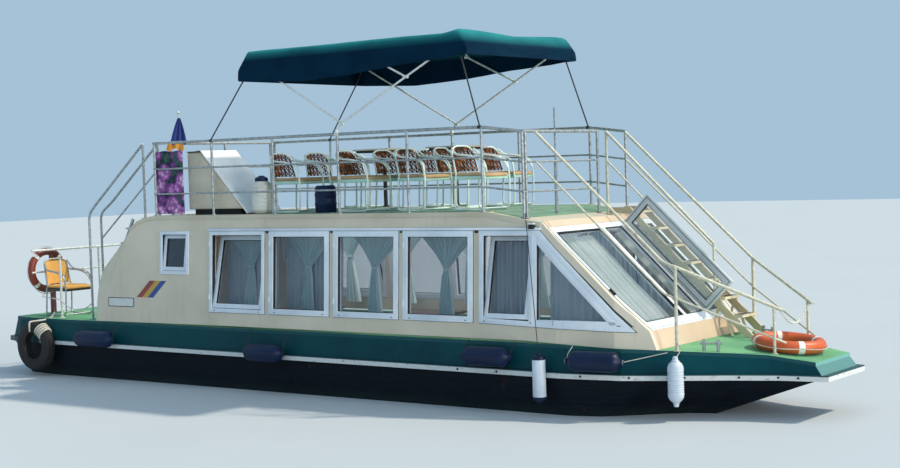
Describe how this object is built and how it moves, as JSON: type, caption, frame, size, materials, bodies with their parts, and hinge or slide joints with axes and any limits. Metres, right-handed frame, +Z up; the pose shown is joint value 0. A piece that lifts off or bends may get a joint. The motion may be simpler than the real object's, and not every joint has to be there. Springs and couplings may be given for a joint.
{
  "type": "houseboat",
  "caption": "Flat-bottomed steel houseboat with a glazed saloon, a railed roof deck with seats, bow stairs and a sun canopy on a tube frame.",
  "frame": {"origin": "middle of the hull's flat bottom", "axes": "+X towards the bow, +Y to port, +Z up"},
  "size_m": [12.528, 3.0453, 4.82],
  "materials": {
    "hull_black": "worn black bottom paint",
    "hull_green": "dark green gloss paint, weathered",
    "rub_white": "white paint with rust",
    "deck_green": "matt green deck paint",
    "cream": "cream paint",
    "window_white": "white window plastic with panes",
    "steel": "galvanised tube",
    "canopy_green": "woven green canvas",
    "wicker": "woven strip on white tube",
    "fender_blue": "navy cover",
    "fender_white": "white vinyl",
    "tyre_rubber": "old tyre",
    "ring_orange": "orange shell with white bands",
    "chair_yellow": "yellow woven strip",
    "curtain_mint": "sheer mint cloth",
    "wood": "varnished",
    "banner": "printed canvas",
    "bronze": "dull bronze",
    "beige": "beige paint",
    "engine_grey": "grey paint"
  },
  "bodies": {
    "root": {"lower_hull": "hull_black", "topside_plating": "hull_green", "rub_rail": "rub_white", "deck": "deck_green", "cabin_side_starboard": "cream", "cabin_side_port": "cream", "saloon_windows_starboard": "window_white", "saloon_windows_port": "window_white", "aft_window_starboard": "window_white", "aft_window_port": "window_white", "cabin_aft_wall": "cream", "cabin_roof": "cream", "windscreen": "window_white", "cabin_front_panel": "cream", "roof_rail_starboard": "steel", "roof_rail_port": "steel", "roof_rail_front": "steel", "roof_rail_aft": "steel", "ladder_rail_far": "steel", "aft_ladder": "steel", "bow_rail_starboard": "steel", "bow_rail_port": "steel", "stair_rail": "steel", "bow_stairs": "beige", "roof_mast": "steel", "bow_bollard_starboard": "steel", "bow_bollard_port": "steel", "stern_rail_starboard": "steel", "stern_rail_port": "steel", "stern_rail_aft": "steel", "helm_console": "beige", "helm_screen": "window_white", "rail_banner": "banner", "flag_staff": "steel", "canopy_top": "canopy_green", "canopy_frame": "steel", "roof_seats": "wicker", "roof_fender": "fender_white", "stern_chair": "chair_yellow", "stern_post": "ring_orange", "life_ring_bow": "ring_orange", "life_ring_stern": "ring_orange", "fender_a": "fender_blue", "fender_b": "fender_blue", "fender_c": "fender_blue", "fender_d": "fender_blue", "fender_e": "fender_white", "fender_f": "fender_white", "tyre_fender": "tyre_rubber", "curtains_starboard": "curtain_mint", "curtains_port": "curtain_mint", "saloon_furniture": "wood", "engine_block": "engine_grey"},
    "sash": {"windscreen_sash": "window_white"},
    "door": {"aft_door": "window_white"},
    "screw": {"propeller": "bronze"},
    "steering": {"rudder": "hull_black"},
    "helm": {"helm_wheel": "wood"}
  },
  "joints": [
    {"name": "sash_hinge", "type": "hinge", "parent": "root", "child": "sash", "pos_m": [3.2106, 0.385, 2.55681], "axis": [0.7271, 0, -0.6865], "range_deg": [0, 95]},
    {"name": "door_hinge", "type": "hinge", "parent": "root", "child": "door", "pos_m": [-4.28675, 0.324, 1.18709], "axis": [-0.4844, 0, -0.8749], "range_deg": [0, 110]},
    {"name": "propeller_spin", "type": "hinge", "parent": "root", "child": "screw", "pos_m": [-5.975, 0, 0.22], "axis": [1, 0, 0], "continuous": true},
    {"name": "rudder_steer", "type": "hinge", "parent": "root", "child": "steering", "pos_m": [-6.12, 0, 0.4], "axis": [0, 0, 1], "range_deg": [-35, 35]},
    {"name": "helm_turn", "type": "hinge", "parent": "root", "child": "helm", "pos_m": [-2.657, -0.77, 3.33], "axis": [1, 0, 0], "range_deg": [-450, 450]}
  ],
  "couplings": [
    {"joint": "helm_turn", "follows": "rudder_steer", "ratio": 12.8}
  ]
}
